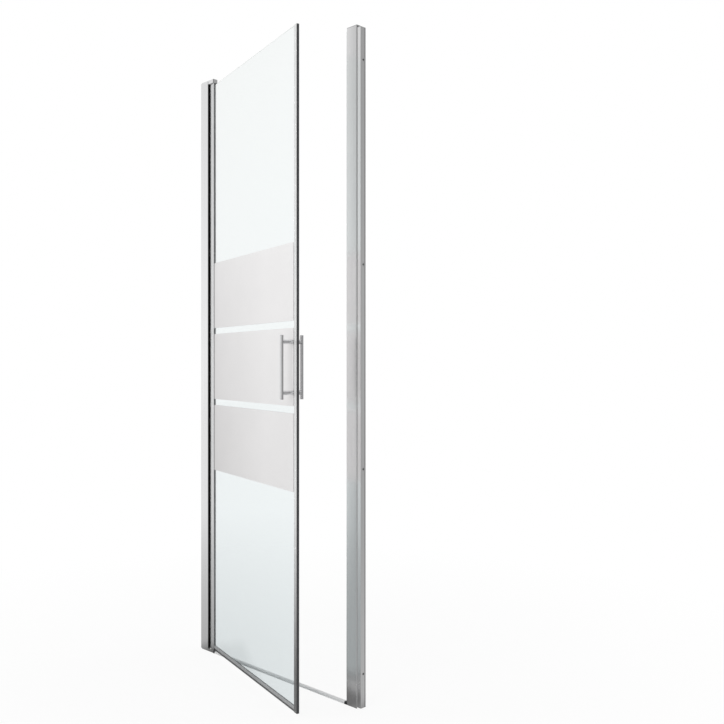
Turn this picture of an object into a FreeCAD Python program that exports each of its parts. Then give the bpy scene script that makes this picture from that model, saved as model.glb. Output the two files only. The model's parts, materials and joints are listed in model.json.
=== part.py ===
import FreeCAD, Part
import os

from FreeCAD import Vector

# Pivot shower door: a two-jamb frame with a low threshold and one glass leaf that opens outwards.
# Millimetres. +Z is up and the outside of the enclosure is towards -Y. The hinge side is at -X.
# The origin is on the underside of the threshold, at mid depth and at the middle of the width.

# ---------------------------------------------------------------- frame
FRAME_WIDTH = 780.0           # wall face to wall face, as shown
JAMB_TOP_Z = 1950.0           # top end of both jamb profiles
FRAME_DEPTH = 23.0            # front face to back face of a jamb profile
JAMB_WIDTH = 40.5             # wall-side edge to opening-side face of a jamb profile
JAMB_WALL = 1.5               # front and back walls
JAMB_FACE_WALL = 3.0          # wall on the opening side, which carries the seal groove
JAMB_EDGE_RADIUS = 1.0        # rounding of the outer corners
SEAL_GROOVE_WIDTH = 6.0
SEAL_GROOVE_DEPTH = 1.6

# ---------------------------------------------------------------- wall channels
HINGE_SHOW = 2.5              # how far the hinge-side channel stands out of its jamb
STRIKE_SHOW = 15.0            # the same at the strike side
CHANNEL_END_GAP = 1.5         # leg ends to the jamb's inner wall when pushed right in
CHANNEL_WEB = 2.0
CHANNEL_LEG = 1.6
CHANNEL_FOOT_GAP = 0.5        # above the plate under the jamb
CHANNEL_HEAD_DROP = 6.5       # below the top of the jamb
TELESCOPE_GAP = 0.3           # channel to jamb, each side
CHANNEL_EDGE_RADIUS = 1.2     # rounding of the two corners at the wall
WALL_HOLE_RADIUS = 3.0        # for the screws into the wall
WALL_HOLE_END = 100.0         # first and last hole to the ends of the jamb
WALL_HOLE_COUNT = 4

# ---------------------------------------------------------------- clamping screws of the two channels
CLAMP_SCREW_RADIUS = 2.0
CLAMP_SCREW_LENGTH = 9.0
CLAMP_HEAD_RADIUS = 3.8
CLAMP_HEAD_HEIGHT = 2.0
CLAMP_SCREW_INSET = 8.0       # from the wall-side edge of the jamb
CLAMP_SCREW_END = 150.0       # first and last screw to the ends of the jamb
CLAMP_SCREW_COUNT = 3
CLAMP_HOLE_GAP = 0.1          # hole in the jamb round the screw
CLAMP_SLOT_GAP = 0.5          # slot in the channel round the screw
CLAMP_SLOT_END = 6.0          # last screw position to the end of the channel's leg
COVER_RADIUS = 6.0
COVER_HEIGHT = 3.5
COVER_SKIN = 1.0
COVER_GAP = 0.3               # inside the cover, round the screw head
HEX_KEY = 2.5                 # across the flats of the drive sockets
DRIVE_DEPTH = 1.2

# ---------------------------------------------------------------- threshold
THRESHOLD_DEPTH = 12.0
THRESHOLD_HEIGHT = 7.0
THRESHOLD_WALL = 1.2
THRESHOLD_CHAMFER = 2.0
HINGE_PLUG_LENGTH = 8.0
STRIKE_PLUG_LENGTH = 11.0
PLUG_SPIGOT = 10.0
PLUG_GAP = 0.1

# ---------------------------------------------------------------- pivots
OPEN_ANGLE = 15.0             # how far the leaf stands open
PIVOT_FROM_FRONT = 10.0       # axis to the front plane of the frame
PIN_RADIUS = 3.5
PIN_LENGTH_IN_LEAF = 34.0
BUSH_RADIUS = 5.5
BUSH_FLANGE_RADIUS = 6.2
BUSH_FLANGE = 1.0
RUNNING_GAP = 0.05            # pin in its bush, radial
BUSH_FIT = 0.02               # bush in its bracket, radial
BRACKET_PLATE = 3.0           # plate over or under the end of the jamb
BOTTOM_BOSS_HEIGHT = 9.0      # from the floor, with the plate
TOP_BOSS_DROP = 9.5           # below the top of the jamb
BRACKET_REACH = 30.0          # from the jamb's face along the opening
BRACKET_DEPTH = 18.0
BRACKET_EDGE_INSET = 4.0      # plate end to the wall face
BRACKET_CORNER = 3.0
BORE_FLOOR = 1.5              # metal left beyond the bush
THRUST_GAP = 0.1              # washer to bush flange
WASHER_RADIUS = 5.8
WASHER_THICK = 2.4
TOP_BUSH_TO_CAP = 3.0         # pin showing between the leaf and the top bush

# ---------------------------------------------------------------- screws of the pivot brackets
PORT_RADIUS = 3.0
PORT_INSET = 6.0              # port axis to the jamb's opening-side face
PORT_SPACING = 7.6
BRACKET_SCREW_RADIUS = 1.7
BRACKET_SCREW_LENGTH = 16.0
BRACKET_HEAD_RADIUS = 3.2
BRACKET_HEAD_HEIGHT = 1.8
SCREW_GAP = 0.05              # thread in its port
PLATE_HOLE_GAP = 0.3          # screw in the bracket's plate

# ---------------------------------------------------------------- frame seals
WIPER_THICK = 1.6             # black wiper on the hinge jamb and base of the strike seal
WIPER_FRONT = 0.6             # front edge, behind the front plane
WIPER_BACK = 3.0              # back edge, in front of the back plane
WIPER_RUN_GAP = 0.4           # to the rounded back of the pivot profile
SEAL_END_SPACE = 0.4          # above and below the frame seals
STRIKE_LIP_REACH = 10.5       # lip that the closed leaf comes to, from the jamb's face
STRIKE_LIP_THICK = 2.0
STRIKE_LIP_GAP = 0.35         # lip to the back of the closed leaf
STRIKE_MAGNET_WIDTH = 7.5
STRIKE_MAGNET_THICK = 1.5
JAMB_CAP_THICK = 1.5
JAMB_CAP_SPIGOT = 4.0
JAMB_CAP_SPIGOT_WALL = 1.5
JAMB_CAP_GAP = 0.1

# ---------------------------------------------------------------- leaf
STRIKE_GAP = 3.8              # end of the closed leaf to the strike jamb's face
GLASS_THICK = 6.0
GLASS_ABOVE_FOOT = 5.0        # glass to the lower end of the pivot profile
GLASS_BELOW_HEAD = 6.0        # glass to its upper end
PROFILE_THICK = 12.0          # pivot profile across the leaf
PROFILE_END = 35.0            # pivot axis to the free edge of the pivot profile
PROFILE_EDGE_RADIUS = 1.0
PROFILE_CAP = 2.5
SLOT_START = 16.0             # pivot axis to the floor of the glazing slot
GASKET_SIDE = 1.0
GASKET_FLOOR = 2.0
PIN_FIT = 0.03                # pin in the profile's bore
PIN_GRUB_RADIUS = 2.0
PIN_GRUB_FROM_END = (10.0, 22.0)
GRUB_GAP = 0.05
EDGE_MAGNET = 1.2             # dark magnet strip at the leaf's end
EDGE_SEAL_BODY = 7.0          # clear seal between the glass and the magnet
EDGE_SEAL_FLANGE = 9.5        # overlap on the glass
SEAL_SKIN = 0.75              # flange thickness of the seals on the glass
DRIP_FLANGE = 9.5             # height of the drip seal's flanges on the glass
DRIP_BODY = 2.0
DRIP_FIN_THICK = 1.5
DRIP_CLEARANCE = 3.5          # fin to the top of the threshold
SEAL_END_GAP = 0.3

# ---------------------------------------------------------------- handle
HANDLE_FROM_GLASS_EDGE = 16.5
HANDLE_Z = 974.0
HANDLE_LENGTH = 180.0
HANDLE_WIDTH = 12.0
HANDLE_THICK = 6.0
HANDLE_EDGE_RADIUS = 1.2
POST_SPACING = 142.0
POST_RADIUS = 6.0
OUTER_POST_LENGTH = 31.0
INNER_POST_LENGTH = 14.6
RAIL_THICK = 3.0              # backing rail on the inner face of the glass
POST_WASHER = 1.0             # under each outer post
GLASS_HOLE_RADIUS = 4.5
HOLE_BUSH_GAP = 0.1
STUD_RADIUS = 2.5
STUD_IN_OUTER_POST = 12.0
STUD_IN_INNER_POST = 11.0
STUD_GAP = 0.05
STUD_LOOSE_GAP = 0.3
POST_SPIGOT_RADIUS = 3.0
POST_SPIGOT_LENGTH = 2.5
POST_SPIGOT_GAP = 0.05
POST_GRUB_RADIUS = 1.6
POST_GRUB_FROM_ROOT = 8.0

# ---------------------------------------------------------------- places that follow from the sizes
WALL_X = FRAME_WIDTH / 2
FRONT_Y = -THRESHOLD_DEPTH / 2
BACK_Y = FRONT_Y + FRAME_DEPTH
MID_Y = FRONT_Y + FRAME_DEPTH / 2
HINGE_EDGE_X = -WALL_X + HINGE_SHOW
HINGE_FACE_X = HINGE_EDGE_X + JAMB_WIDTH
STRIKE_EDGE_X = WALL_X - STRIKE_SHOW
STRIKE_FACE_X = STRIKE_EDGE_X - JAMB_WIDTH
PROFILE_HALF = PROFILE_THICK / 2
PIVOT_X = HINGE_FACE_X + WIPER_THICK + WIPER_RUN_GAP + PROFILE_HALF
PIVOT_Y = FRONT_Y + PIVOT_FROM_FRONT
BRACKET_END_X = HINGE_FACE_X + BRACKET_REACH
CHANNEL_REACH = JAMB_WIDTH - JAMB_FACE_WALL - CHANNEL_END_GAP
ADJUST_TRAVEL = CHANNEL_REACH - CLAMP_SCREW_INSET - CLAMP_SLOT_END
CHANNEL_BOTTOM_Z = BRACKET_PLATE + CHANNEL_FOOT_GAP
CHANNEL_TOP_Z = JAMB_TOP_Z - CHANNEL_HEAD_DROP
WALL_HOLE_SPACING = (JAMB_TOP_Z - 2 * WALL_HOLE_END) / (WALL_HOLE_COUNT - 1)
CLAMP_SCREW_SPACING = (JAMB_TOP_Z - 2 * CLAMP_SCREW_END) / (CLAMP_SCREW_COUNT - 1)
CLAMP_SCREW_Z = [CLAMP_SCREW_END + i * CLAMP_SCREW_SPACING for i in range(CLAMP_SCREW_COUNT)]
SLOT_HALF = GLASS_THICK / 2 + GASKET_SIDE
SEAL_HALF = GLASS_THICK / 2 + SEAL_SKIN
LEAF_END = STRIKE_FACE_X - PIVOT_X - STRIKE_GAP
GLASS_START = SLOT_START + GASKET_FLOOR
GLASS_END = LEAF_END - EDGE_MAGNET - EDGE_SEAL_BODY
EDGE_SEAL_START = GLASS_END - EDGE_SEAL_FLANGE
HANDLE_S = GLASS_END - HANDLE_FROM_GLASS_EDGE
POST_HEIGHTS = (HANDLE_Z - POST_SPACING / 2, HANDLE_Z + POST_SPACING / 2)
OUTER_POST_ROOT = GLASS_THICK / 2 + POST_WASHER
INNER_POST_ROOT = GLASS_THICK / 2 + RAIL_THICK
LOW_FLANGE_TOP_Z = BOTTOM_BOSS_HEIGHT + BUSH_FLANGE
LEAF_FOOT_Z = LOW_FLANGE_TOP_Z + THRUST_GAP + WASHER_THICK
PROFILE_BOTTOM_Z = LEAF_FOOT_Z + PROFILE_CAP
GLASS_BOTTOM_Z = PROFILE_BOTTOM_Z + GLASS_ABOVE_FOOT
TOP_BOSS_LOW_Z = JAMB_TOP_Z - TOP_BOSS_DROP
TOP_FLANGE_LOW_Z = TOP_BOSS_LOW_Z - BUSH_FLANGE
LEAF_HEAD_Z = TOP_FLANGE_LOW_Z - TOP_BUSH_TO_CAP
PROFILE_TOP_Z = LEAF_HEAD_Z - PROFILE_CAP
GLASS_TOP_Z = PROFILE_TOP_Z - GLASS_BELOW_HEAD
TOP_PLATE_Z = JAMB_TOP_Z + BRACKET_PLATE
FRAME_SEAL_TOP_Z = TOP_BOSS_LOW_Z - SEAL_END_SPACE
STRIKE_SEAL_BOTTOM_Z = THRESHOLD_HEIGHT + SEAL_END_SPACE
DRIP_FLANGE_TOP_Z = GLASS_BOTTOM_Z + DRIP_FLANGE
DRIP_FIN_BOTTOM_Z = THRESHOLD_HEIGHT + DRIP_CLEARANCE
PORT_X = HINGE_FACE_X - PORT_INSET
PORT_YS = (MID_Y - PORT_SPACING / 2, MID_Y + PORT_SPACING / 2)
NEAR = 0.01                   # how close an edge's mid point must be to count as at a place


# ---------------------------------------------------------------- small helpers
def block(x0, x1, y0, y1, z0, z1):
    return Part.makeBox(x1 - x0, y1 - y0, z1 - z0, Vector(x0, y0, z0))


def rod(radius, start, direction, length):
    return Part.makeCylinder(radius, length, Vector(*start), Vector(*direction))


def joined(shapes):
    first, rest = shapes[0], shapes[1:]
    return first.fuse(rest).removeSplitter() if rest else first


def minus(shape, tools):
    return shape.cut(tools)


def edges_along(shape, axis, where):
    """Straight edges along one axis whose mid point passes the test."""
    found = []
    for edge in shape.Edges:
        if len(edge.Vertexes) != 2 or edge.Curve.TypeId != "Part::GeomLine":
            continue
        if abs(edge.Curve.Direction.dot(axis)) > 0.999 and where(edge.CenterOfMass):
            found.append(edge)
    return found


def in_leaf(shape):
    """From leaf axes (X along the leaf, -Y outside, pivot axis at 0, 0) to the frame's."""
    placed = shape.copy()
    placed.rotate(Vector(0, 0, 0), Vector(0, 0, 1), -OPEN_ANGLE)
    placed.translate(Vector(PIVOT_X, PIVOT_Y, 0))
    return placed


def node(name, solids):
    """Writes one piece, or a group of like pieces, to its file."""
    shape = solids[0] if len(solids) == 1 else Part.makeCompound(solids)
    shape.exportStep("parts/%s.step" % name)
    print("%-24s %2d solid(s) valid=%s" % (name, len(shape.Solids), shape.isValid()))


# ---------------------------------------------------------------- jambs and channels
def mirrored(side, x_from_wall):
    """X of a point at a distance from the wall face: side -1 is the hinge, 1 the strike side."""
    return side * (WALL_X - x_from_wall)


def span(side, near, far):
    """Ordered X limits between two distances from the wall face."""
    ends = (mirrored(side, near), mirrored(side, far))
    return min(ends), max(ends)


def clamp_axis_x(side, show):
    """X of the clamping screws, which sit in the jamb at the shown position of the channel."""
    return mirrored(side, show + CLAMP_SCREW_INSET)


def jamb_profile(side, show, bottom_z):
    x0, x1 = span(side, show, show + JAMB_WIDTH)
    outer = block(x0, x1, FRONT_Y, BACK_Y, bottom_z, JAMB_TOP_Z)
    corners = edges_along(outer, Vector(0, 0, 1), lambda p: True)
    outer = outer.makeFillet(JAMB_EDGE_RADIUS, corners)
    # The cavity opens at the wall side, where the channel slides in.
    c0, c1 = span(side, show - JAMB_WALL, show + JAMB_WIDTH - JAMB_FACE_WALL)
    cavity = block(c0, c1, FRONT_Y + JAMB_WALL, BACK_Y - JAMB_WALL, bottom_z, JAMB_TOP_Z)
    g0, g1 = span(side, show + JAMB_WIDTH - SEAL_GROOVE_DEPTH, show + JAMB_WIDTH + JAMB_WALL)
    half = SEAL_GROOVE_WIDTH / 2
    groove = block(g0, g1, PIVOT_Y - half, PIVOT_Y + half, bottom_z, JAMB_TOP_Z)
    body = minus(outer, [cavity, groove])
    port_x = mirrored(side, show + JAMB_WIDTH - PORT_INSET)
    length = JAMB_TOP_Z - bottom_z
    web_x0, web_x1 = span(side, show + JAMB_WIDTH - PORT_INSET, show + JAMB_WIDTH - JAMB_FACE_WALL)
    ports, bores = [], []
    for y in PORT_YS:
        ports.append(rod(PORT_RADIUS, (port_x, y, bottom_z), (0, 0, 1), length))
        ports.append(block(web_x0, web_x1, y - PORT_RADIUS / 2, y + PORT_RADIUS / 2, bottom_z, JAMB_TOP_Z))
        bores.append(rod(BRACKET_SCREW_RADIUS + SCREW_GAP, (port_x, y, bottom_z), (0, 0, 1), length))
    body = minus(joined([body] + ports), bores)
    hole = CLAMP_SCREW_RADIUS + CLAMP_HOLE_GAP
    x = clamp_axis_x(side, show)
    holes = [rod(hole, (x, BACK_Y - 2 * JAMB_WALL, z), (0, 1, 0), 3 * JAMB_WALL) for z in CLAMP_SCREW_Z]
    return minus(body, holes)


def wall_channel(side, show):
    gap = JAMB_WALL + TELESCOPE_GAP
    y0, y1 = FRONT_Y + gap, BACK_Y - gap
    x0, x1 = span(side, 0, CHANNEL_REACH)
    outer = block(x0, x1, y0, y1, CHANNEL_BOTTOM_Z, CHANNEL_TOP_Z)
    at_wall = edges_along(outer, Vector(0, 0, 1), lambda p: abs(p.x) > WALL_X - NEAR)
    outer = outer.makeFillet(CHANNEL_EDGE_RADIUS, at_wall)
    h0, h1 = span(side, CHANNEL_WEB, CHANNEL_REACH + CHANNEL_WEB)
    hollow = block(h0, h1, y0 + CHANNEL_LEG, y1 - CHANNEL_LEG, CHANNEL_BOTTOM_Z, CHANNEL_TOP_Z)
    tools = [hollow]
    w0, w1 = span(side, -CHANNEL_WEB, 2 * CHANNEL_WEB)
    for i in range(WALL_HOLE_COUNT):
        z = WALL_HOLE_END + i * WALL_HOLE_SPACING
        tools.append(rod(WALL_HOLE_RADIUS, (w0, MID_Y, z), (1, 0, 0), w1 - w0))
    half = CLAMP_SCREW_RADIUS + CLAMP_SLOT_GAP
    near, far = CLAMP_SCREW_INSET, CLAMP_SCREW_INSET + ADJUST_TRAVEL
    s0, s1 = span(side, near, far)
    for z in CLAMP_SCREW_Z:
        tools.append(block(s0, s1, y1 - 2 * CHANNEL_LEG, y1 + CHANNEL_LEG, z - half, z + half))
        for x in (s0, s1):
            tools.append(rod(half, (x, y1 - 2 * CHANNEL_LEG, z), (0, 1, 0), 3 * CHANNEL_LEG))
    return minus(outer, tools)


def hex_socket(centre, direction, depth):
    """Drive socket, sunk from a point along a direction."""
    radius = HEX_KEY / 3 ** 0.5
    return rod_polygon(6, radius, centre, direction, depth)


def rod_polygon(sides, radius, centre, direction, depth):
    axis = Vector(*direction)
    side_way = axis.cross(Vector(1, 0, 0))
    if side_way.Length < 0.5:
        side_way = axis.cross(Vector(0, 1, 0))
    side_way.normalize()
    turn = FreeCAD.Rotation(axis, 360.0 / sides)
    points, arm = [], side_way * radius
    for _ in range(sides):
        points.append(Vector(*centre) + arm)
        arm = turn.multVec(arm)
    points.append(points[0])
    return Part.Face(Part.makePolygon(points)).extrude(axis * depth)


def clamp_screws(side, show):
    x = clamp_axis_x(side, show)
    screws = []
    for z in CLAMP_SCREW_Z:
        shank = rod(CLAMP_SCREW_RADIUS, (x, BACK_Y, z), (0, -1, 0), CLAMP_SCREW_LENGTH)
        head = rod(CLAMP_HEAD_RADIUS, (x, BACK_Y, z), (0, 1, 0), CLAMP_HEAD_HEIGHT)
        drive = hex_socket((x, BACK_Y + CLAMP_HEAD_HEIGHT, z), (0, -1, 0), DRIVE_DEPTH)
        screws.append(minus(joined([shank, head]), [drive]))
    return screws


def screw_covers(side, show):
    x = clamp_axis_x(side, show)
    room = CLAMP_HEAD_RADIUS + COVER_GAP
    covers = []
    for z in CLAMP_SCREW_Z:
        cup = rod(COVER_RADIUS, (x, BACK_Y, z), (0, 1, 0), COVER_HEIGHT)
        rim = [e for e in cup.Edges if abs(e.CenterOfMass.y - BACK_Y - COVER_HEIGHT) < NEAR]
        cup = cup.makeFillet(COVER_SKIN, rim)
        hollow = rod(room, (x, BACK_Y, z), (0, 1, 0), COVER_HEIGHT - COVER_SKIN)
        covers.append(minus(cup, [hollow]))
    return covers


def strike_jamb_cap():
    x0, x1 = span(1, STRIKE_SHOW, STRIKE_SHOW + JAMB_WIDTH)
    top = JAMB_TOP_Z + JAMB_CAP_THICK
    plate = block(x0, x1, FRONT_Y, BACK_Y, JAMB_TOP_Z, top)
    plate = plate.makeFillet(JAMB_EDGE_RADIUS, edges_along(plate, Vector(0, 0, 1), lambda p: True))
    inset = JAMB_WALL + JAMB_CAP_GAP
    port_edge = JAMB_WIDTH - PORT_INSET - PORT_RADIUS - JAMB_CAP_GAP
    i0, i1 = span(1, STRIKE_SHOW, STRIKE_SHOW + port_edge)
    low = JAMB_TOP_Z - JAMB_CAP_SPIGOT
    spigot = block(i0, i1, FRONT_Y + inset, BACK_Y - inset, low, JAMB_TOP_Z)
    wall = JAMB_CAP_SPIGOT_WALL
    well = block(i0 + wall, i1 - wall, FRONT_Y + inset + wall, BACK_Y - inset - wall, low, JAMB_TOP_Z)
    return joined([plate, minus(spigot, [well])])


# ---------------------------------------------------------------- threshold
def threshold_section(x0, x1):
    body = block(x0, x1, FRONT_Y, -FRONT_Y, 0, THRESHOLD_HEIGHT)
    top = edges_along(body, Vector(1, 0, 0), lambda p: p.z > THRESHOLD_HEIGHT / 2)
    return body.makeChamfer(THRESHOLD_CHAMFER, top)


def threshold_cavity(x0, x1, gap):
    wall = THRESHOLD_WALL + gap
    body = block(x0, x1, FRONT_Y + wall, -FRONT_Y - wall, wall, THRESHOLD_HEIGHT - wall)
    top = edges_along(body, Vector(1, 0, 0), lambda p: p.z > THRESHOLD_HEIGHT / 2)
    return body.makeChamfer(THRESHOLD_CHAMFER / 2, top)


def threshold_bar():
    x0, x1 = BRACKET_END_X + HINGE_PLUG_LENGTH, STRIKE_FACE_X - STRIKE_PLUG_LENGTH
    return minus(threshold_section(x0, x1), [threshold_cavity(x0, x1, 0)])


def threshold_plugs():
    x0, x1 = BRACKET_END_X + HINGE_PLUG_LENGTH, STRIKE_FACE_X - STRIKE_PLUG_LENGTH
    hinge = joined([threshold_section(BRACKET_END_X, x0), threshold_cavity(x0, x0 + PLUG_SPIGOT, PLUG_GAP)])
    strike = joined([threshold_section(x1, STRIKE_FACE_X), threshold_cavity(x1 - PLUG_SPIGOT, x1, PLUG_GAP)])
    return [hinge, strike]


# ---------------------------------------------------------------- pivot brackets and bushes
def bracket_plan(x0, x1, z0, z1):
    """Bracket slab, rounded where it ends over the opening."""
    half = BRACKET_DEPTH / 2
    slab = block(x0, x1, PIVOT_Y - half, PIVOT_Y + half, z0, z1)
    tip = edges_along(slab, Vector(0, 0, 1), lambda p: p.x > x1 - NEAR)
    return slab.makeFillet(BRACKET_CORNER, tip)


def top_bracket():
    low_x = HINGE_EDGE_X + BRACKET_EDGE_INSET
    plate = bracket_plan(low_x, BRACKET_END_X, JAMB_TOP_Z, TOP_PLATE_Z)
    boss = bracket_plan(HINGE_FACE_X, BRACKET_END_X, TOP_BOSS_LOW_Z, JAMB_TOP_Z)
    tools = [rod(BUSH_RADIUS + BUSH_FIT, (PIVOT_X, PIVOT_Y, TOP_BOSS_LOW_Z), (0, 0, 1),
                 TOP_PLATE_Z - BORE_FLOOR - TOP_BOSS_LOW_Z)]
    for y in PORT_YS:
        tools.append(rod(BRACKET_SCREW_RADIUS + PLATE_HOLE_GAP, (PORT_X, y, JAMB_TOP_Z), (0, 0, 1),
                         BRACKET_PLATE))
    return minus(joined([plate, boss]), tools)


def bottom_bracket():
    low_x = HINGE_EDGE_X + BRACKET_EDGE_INSET
    half = BRACKET_DEPTH / 2
    y0, y1 = PIVOT_Y - half, PIVOT_Y + half
    plate = block(low_x, BRACKET_END_X, y0, y1, 0, BRACKET_PLATE)
    boss = block(HINGE_FACE_X, BRACKET_END_X, y0, y1, BRACKET_PLATE, BOTTOM_BOSS_HEIGHT)
    tools = [rod(BUSH_RADIUS + BUSH_FIT, (PIVOT_X, PIVOT_Y, BORE_FLOOR), (0, 0, 1), BOTTOM_BOSS_HEIGHT)]
    hole = BRACKET_SCREW_RADIUS + PLATE_HOLE_GAP
    sink = BRACKET_HEAD_RADIUS + PLATE_HOLE_GAP
    for y in PORT_YS:
        tools.append(rod(hole, (PORT_X, y, 0), (0, 0, 1), BRACKET_PLATE))
        tools.append(Part.makeCone(sink, hole, BRACKET_HEAD_HEIGHT, Vector(PORT_X, y, 0)))
    return minus(joined([plate, boss]), tools)


def top_bracket_screws():
    screws = []
    for y in PORT_YS:
        shank = rod(BRACKET_SCREW_RADIUS, (PORT_X, y, TOP_PLATE_Z), (0, 0, -1), BRACKET_SCREW_LENGTH)
        head = rod(BRACKET_HEAD_RADIUS, (PORT_X, y, TOP_PLATE_Z), (0, 0, 1), BRACKET_HEAD_HEIGHT)
        drive = hex_socket((PORT_X, y, TOP_PLATE_Z + BRACKET_HEAD_HEIGHT), (0, 0, -1), DRIVE_DEPTH)
        screws.append(minus(joined([shank, head]), [drive]))
    return screws


def bottom_bracket_screws():
    screws = []
    for y in PORT_YS:
        shank = rod(BRACKET_SCREW_RADIUS, (PORT_X, y, 0), (0, 0, 1), BRACKET_SCREW_LENGTH)
        head = Part.makeCone(BRACKET_HEAD_RADIUS, BRACKET_SCREW_RADIUS, BRACKET_HEAD_HEIGHT,
                             Vector(PORT_X, y, 0))
        drive = hex_socket((PORT_X, y, 0), (0, 0, 1), DRIVE_DEPTH)
        screws.append(minus(joined([shank, head]), [drive]))
    return screws


def pivot_bush(low_z, high_z, flange_low_z):
    body = rod(BUSH_RADIUS, (PIVOT_X, PIVOT_Y, low_z), (0, 0, 1), high_z - low_z)
    flange = rod(BUSH_FLANGE_RADIUS, (PIVOT_X, PIVOT_Y, flange_low_z), (0, 0, 1), BUSH_FLANGE)
    low, high = min(low_z, flange_low_z), max(high_z, flange_low_z + BUSH_FLANGE)
    bore = rod(PIN_RADIUS + RUNNING_GAP, (PIVOT_X, PIVOT_Y, low), (0, 0, 1), high - low)
    return minus(joined([body, flange]), [bore])


# ---------------------------------------------------------------- frame seals
def seal_base(side, show, bottom_z, top_z):
    """Flat strip on the jamb's opening-side face with its root in the groove."""
    face = show + JAMB_WIDTH
    x0, x1 = span(side, face, face + WIPER_THICK)
    y0 = FRONT_Y + WIPER_FRONT
    strip = block(x0, x1, y0, BACK_Y - WIPER_BACK, bottom_z, top_z)
    r0, r1 = span(side, face - SEAL_GROOVE_DEPTH, face)
    half = SEAL_GROOVE_WIDTH / 2
    root = block(r0, r1, PIVOT_Y - half, PIVOT_Y + half, bottom_z, top_z)
    return joined([strip, root])


def hinge_wiper():
    return seal_base(-1, HINGE_SHOW, LOW_FLANGE_TOP_Z + SEAL_END_SPACE, FRAME_SEAL_TOP_Z)


def strike_seal():
    base = seal_base(1, STRIKE_SHOW, STRIKE_SEAL_BOTTOM_Z, FRAME_SEAL_TOP_Z)
    y0 = PIVOT_Y + SEAL_HALF + STRIKE_LIP_GAP
    lip = block(STRIKE_FACE_X - STRIKE_LIP_REACH, STRIKE_FACE_X - WIPER_THICK, y0, y0 + STRIKE_LIP_THICK,
                STRIKE_SEAL_BOTTOM_Z, FRAME_SEAL_TOP_Z)
    return joined([base, lip])


def strike_magnet():
    x1 = STRIKE_FACE_X - WIPER_THICK
    half = STRIKE_MAGNET_WIDTH / 2
    return block(x1 - STRIKE_MAGNET_THICK, x1, PIVOT_Y - half, PIVOT_Y + half,
                 STRIKE_SEAL_BOTTOM_Z, FRAME_SEAL_TOP_Z)


# ---------------------------------------------------------------- leaf, in leaf axes
def profile_outline(low_z, high_z):
    back = rod(PROFILE_HALF, (0, 0, low_z), (0, 0, 1), high_z - low_z)
    body = block(0, PROFILE_END, -PROFILE_HALF, PROFILE_HALF, low_z, high_z)
    ends = edges_along(body, Vector(0, 0, 1), lambda p: p.x > PROFILE_END - NEAR)
    return joined([back, body.makeFillet(PROFILE_EDGE_RADIUS, ends)])


def grub_heights():
    low = [PROFILE_BOTTOM_Z + d for d in PIN_GRUB_FROM_END]
    high = [PROFILE_TOP_Z - d for d in PIN_GRUB_FROM_END]
    return low + high


def pivot_profile():
    low, high = PROFILE_BOTTOM_Z, PROFILE_TOP_Z
    tools = [rod(PIN_RADIUS + PIN_FIT, (0, 0, low), (0, 0, 1), high - low)]
    tools.append(block(SLOT_START, PROFILE_END + PROFILE_CAP, -SLOT_HALF, SLOT_HALF, low, high))
    for z in grub_heights():
        tools.append(rod(PIN_GRUB_RADIUS + GRUB_GAP, (0, 0, z), (0, 1, 0), PROFILE_HALF))
    return minus(profile_outline(low, high), tools)


def profile_cap(low_z):
    plate = profile_outline(low_z, low_z + PROFILE_CAP)
    return minus(plate, [rod(PIN_RADIUS + RUNNING_GAP, (0, 0, low_z), (0, 0, 1), PROFILE_CAP)])


def pin_grubs():
    start, length = PIN_RADIUS + GRUB_GAP, PROFILE_HALF - PIN_RADIUS - 2 * GRUB_GAP
    screws = []
    for z in grub_heights():
        body = rod(PIN_GRUB_RADIUS, (0, start, z), (0, 1, 0), length)
        screws.append(minus(body, [hex_socket((0, start + length, z), (0, -1, 0), DRIVE_DEPTH)]))
    return screws


def bottom_pin():
    top = PROFILE_BOTTOM_Z + PIN_LENGTH_IN_LEAF
    low = BORE_FLOOR + THRUST_GAP
    return rod(PIN_RADIUS, (0, 0, low), (0, 0, 1), top - low)


def top_pin():
    low = PROFILE_TOP_Z - PIN_LENGTH_IN_LEAF
    high = TOP_PLATE_Z - BORE_FLOOR - THRUST_GAP
    return rod(PIN_RADIUS, (0, 0, low), (0, 0, 1), high - low)


def thrust_washer():
    low = LEAF_FOOT_Z - WASHER_THICK
    ring = rod(WASHER_RADIUS, (0, 0, low), (0, 0, 1), WASHER_THICK)
    return minus(ring, [rod(PIN_RADIUS + RUNNING_GAP, (0, 0, low), (0, 0, 1), WASHER_THICK)])


def glass_panel():
    half = GLASS_THICK / 2
    pane = block(GLASS_START, GLASS_END, -half, half, GLASS_BOTTOM_Z, GLASS_TOP_Z)
    holes = [rod(GLASS_HOLE_RADIUS, (HANDLE_S, -half, z), (0, 1, 0), GLASS_THICK) for z in POST_HEIGHTS]
    return minus(pane, holes)


def glazing_gasket():
    half = GLASS_THICK / 2
    body = block(SLOT_START, PROFILE_END, -SLOT_HALF, SLOT_HALF, GLASS_BOTTOM_Z, GLASS_TOP_Z)
    pane = block(GLASS_START, PROFILE_END, -half, half, GLASS_BOTTOM_Z, GLASS_TOP_Z)
    return minus(body, [pane])


def edge_seal():
    half = GLASS_THICK / 2
    top = GLASS_TOP_Z
    body = block(EDGE_SEAL_START, LEAF_END - EDGE_MAGNET, -SEAL_HALF, SEAL_HALF, LEAF_FOOT_Z, top)
    pane = block(EDGE_SEAL_START, GLASS_END, -half, half, LEAF_FOOT_Z, top)
    return minus(body, [pane])


def edge_magnet():
    return block(LEAF_END - EDGE_MAGNET, LEAF_END, -SEAL_HALF, SEAL_HALF, LEAF_FOOT_Z, GLASS_TOP_Z)


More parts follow.
